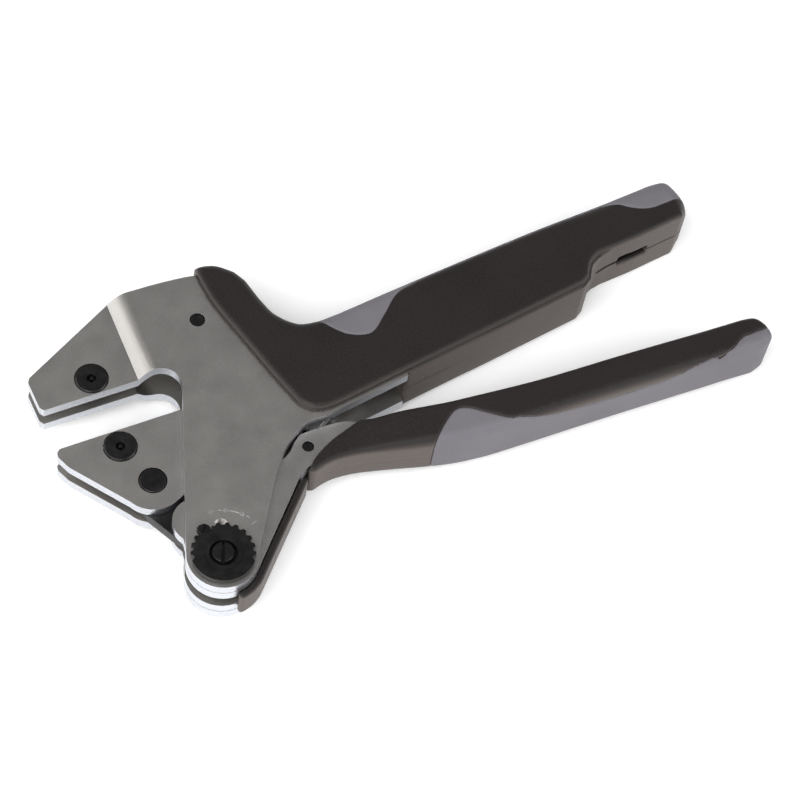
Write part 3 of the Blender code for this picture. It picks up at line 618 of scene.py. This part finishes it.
# ---------------------------------------------------------------- moving handle

GRIP_MOUTH = smooth([(33.6, 11.4), (35.6, 13.6), (39.0, 15.4), (45.6, 17.4), (54.0, 18.4)])
GRIP_UPPER = smooth([
    (57.5, 16.9), (64.7, 15.1), (72.6, 12.4), (81.0, 9.8), (103.6, 4.4), (127.6, 0.0), (151.8, -4.7),
])
GRIP_END = smooth([(164.0, -6.9), (168.0, -8.4), (169.6, -12.2), (168.8, -15.8), (164.2, -16.9)])
GRIP_BELLY = smooth([
    (148.4, -14.2), (117.6, -8.8), (93.3, -4.8), (81.3, -2.6), (70.1, 0.5), (54.7, 6.8), (47.5, 9.6),
    (41.0, 11.0), (35.2, 10.6),
])
MOUTH_THINNER = 2.3  # how much nearer the middle plane its faces lie at the mouth
UPPER_ROUNDING, BELLY_EXTRA = 1.6, 1.5


def grip_inlay(grid):
    """Distance from the moving handle's inlay: a fore lobe, the outer wall below the ridge, an aft lobe."""
    fore = smooth([
        (57.5, -6.0), (60.5, -3.2), (66.5, 1.0), (72.5, 5.0), (77.4, 7.2), (81.0, 6.0), (84.6, 2.4),
        (88.8, -1.6), (93.0, -3.4), (96.0, -4.9), (97.5, -8.0),
    ])
    aft = smooth([
        (143.5, -17.0), (145.8, -13.5), (149.5, -13.6), (152.6, -14.0), (157.2, -13.5), (161.0, -12.2),
        (168.0, -12.8), (178.0, -13.6),
    ])
    ridge = smooth([
        (88.0, 8.6), (96.0, 7.0), (106.0, 5.3), (122.0, 4.2), (137.0, 5.2), (145.0, 7.0), (153.0, 7.6),
    ])  # along X, and the height up to which the wall is grey
    back_limit, wall_depth, wall_from = 8.0, 3.2, 91.0
    fore_lobe = grid.region(fore + [(97.5, -24.0), (57.5, -24.0)])
    aft_lobe = grid.region(aft + [(178.0, -24.0), (143.5, -24.0)])
    front_limit = np.interp(grid.flat_x, *zip(*ridge))[:, :, None]
    z = grid.z[None, None, :]
    wall = np.maximum(z - front_limit, -back_limit - z)
    wall = both(wall, grid.line_distance(GRIP_BELLY)[0][:, :, None] - wall_depth)
    wall = both(wall, (wall_from - grid.flat_x)[:, :, None])
    return np.minimum(np.minimum(fore_lobe, aft_lobe), wall)


def add_moving_handle():
    grid = Grid((31.5, -19), (171.5, 20.5), HANDLE_STEP, layers(GRIP_OUT, 0.3, 0.6, 3.6))
    outline = GRIP_MOUTH + GRIP_UPPER + GRIP_END + GRIP_BELLY
    thin = MOUTH_THINNER * (1 - blend_step(grid.flat_x, 42, 86))[:, :, None]
    near_belly = grid.line_distance(GRIP_BELLY)[0][:, :, None]
    near_upper = grid.line_distance(GRIP_UPPER)[0][:, :, None]
    on_belly = BELLY_EXTRA * blend_step(near_upper - near_belly, -4, 4)
    rounding = UPPER_ROUNDING + on_belly * blend_step(grid.flat_x, 40, 70)[:, :, None]
    body = both(grid.region(outline), grid.within(GRIP_OUT) + thin, rounding)
    plate_room = [
        (26, 6.0), (34.5, 12.5), (46.0, 11.2), (57.0, 7.6), (76.0, 2.2), (122.0, -7.0), (123.8, -4.5),
        (122.5, -1.8), (80.0, 6.8), (62.0, 13.0), (54.5, 18.6), (50.5, 20.5), (26, 24),
    ]
    body = both(body, -both(grid.region(plate_room), grid.within(LEVER_OUT + PLATE_CLEARANCE)))
    names = ("lever_grip_inlay", "lever_grip_front", "lever_grip_back")
    add_mouldings(grid, "lever", names, handle_halves(grid, body, grip_inlay(grid), HIDDEN_SEAM))


# ---------------------------------------------------------------- spine and marks

def add_spine():
    """The strip along the lever's outer edge: rounded, with a tongue between the plates and two nubs."""
    grid = Grid((-4, -14), (36, 15), 0.25, layers(height("lever_spine", 1), 0.22, 0.5, 1.4))
    head_end, wall, gap, rounding = 9.6, 2.2, 0.2, 0.9
    lean = radians(-52.7)  # direction away from the lever, square to its straight edge

    def edge(offset):
        ahead = lean + radians(90)
        tip_x = 31.6 - rounding * cos(ahead) + offset * cos(lean)
        tip_y = 11.8 - rounding * sin(ahead) + offset * sin(lean)
        return arc((0, 0), head_end + offset, -91, -53, 24) + [(tip_x, tip_y)]

    core = grid.region(edge(wall - rounding) + edge(gap + rounding)[::-1]) - rounding
    strip = both(core, grid.within(height("lever_spine", 1)), 0.9)
    tongue_line = [(12.0, -4.6), (32.6, 11.2), (32.4, 12.6), (29.0, 12.6), (9.6, -2.0), (10.0, -4.4)]
    body = np.minimum(strip, both(grid.region(tongue_line), grid.within(1.9)))
    for spot in ((13.6, -3.6), (24.8, 4.8)):
        body = np.minimum(body, both(grid.disc(spot, 0.9), grid.within(2.5), 0.3))
    mesh = surface_mesh("lever_spine", grid, body)
    add_piece("lever_spine_moulding", mesh, "lever", "black_plastic", ["lever_spine"], 0.6)


def turning_strokes():
    """Lines beside the wheel: a plus, a minus, and an arc with an arrowhead each way."""
    arc_radius, plus_radius, minus_radius = 13.2, 12.9, 12.6
    half_plus, half_minus, half_head = 0.65, 0.8, 0.55
    strokes = [arc((0, 0), arc_radius, 27, 65, 16)]
    for angle, way in ((57.0, 1), (36.0, -1)):
        tip = at(arc_radius, angle + 3.6 * way)
        flanks = [at(arc_radius + side, angle - 1.5 * way) for side in (-half_head, half_head)]
        strokes.append([flanks[0], tip, flanks[1], flanks[0]])
    x, y = at(plus_radius, 74.0)
    strokes += [[(x - half_plus, y), (x + half_plus, y)], [(x, y - half_plus), (x, y + half_plus)]]
    return strokes + [[at(minus_radius - half_minus, 20.5), at(minus_radius + half_minus, 18.5)]]


def add_marks():
    """The strokes as thin raised ribbons on the front plate."""
    half_width, sunk, raised = 0.13, 0.02, 0.04
    box_faces = ((3, 2, 1, 0), (4, 5, 6, 7), (0, 1, 5, 4), (1, 2, 6, 5), (2, 3, 7, 6), (3, 0, 4, 7))
    work = bmesh.new()
    for stroke in turning_strokes():
        left, right = moved(stroke, -half_width), moved(stroke, half_width)
        for i in range(len(stroke) - 1):
            corners = (left[i], left[i + 1], right[i + 1], right[i])
            verts = [
                work.verts.new((x * MM, y * MM, (PLATE_OUT + z) * MM))
                for z in (-sunk, raised) for x, y in corners
            ]
            for face in box_faces:
                work.faces.new([verts[k] for k in face])
    bmesh.ops.translate(work, verts=work.verts, vec=WHEEL)
    bmesh.ops.recalc_face_normals(work, faces=work.faces)
    mesh = bpy.data.meshes.new("turning_marks")
    work.to_mesh(mesh)
    work.free()
    add_piece("turning_marks", mesh, "frame", "bright_steel")


add_fixed_handle()
add_moving_handle()
add_spine()
add_marks()


# ---------------------------------------------------------------- steel parts

SLOT_OF = {part["node"]: part["material_slot"] for part in frame["record"]["subparts"]}


def finish_node(name, width):
    """A CAD node gets its material, and its edges the small radius that stamping leaves."""
    obj = frame["nodes"][name]
    obj.data.materials.clear()
    obj.data.materials.append(LOOKS[SLOT_OF[name]])
    obj.data.shade_smooth()
    obj.data.set_sharp_from_angle(angle=radians(32))
    weld = obj.modifiers.new("weld", "WELD")
    weld.merge_threshold = 0.000002
    flat = obj.modifiers.new("flat", "DECIMATE")
    flat.decimate_type = "DISSOLVE"
    flat.angle_limit = radians(0.6)
    bevel = obj.modifiers.new("edge", "BEVEL")
    bevel.width = width * MM
    bevel.segments = 2
    bevel.limit_method = "ANGLE"
    bevel.angle_limit = radians(40)
    bevel.miter_outer = "MITER_ARC"
    normals = obj.modifiers.new("normals", "WEIGHTED_NORMAL")
    normals.keep_sharp = True


EDGE_WIDTHS = {"steel": 0.28, "bright_steel": 0.15, "black_oxide": 0.12, "spring_steel": 0.0}
for node, slot in SLOT_OF.items():
    if not frame["nodes"][node].hide_render:
        finish_node(node, EDGE_WIDTHS[slot])
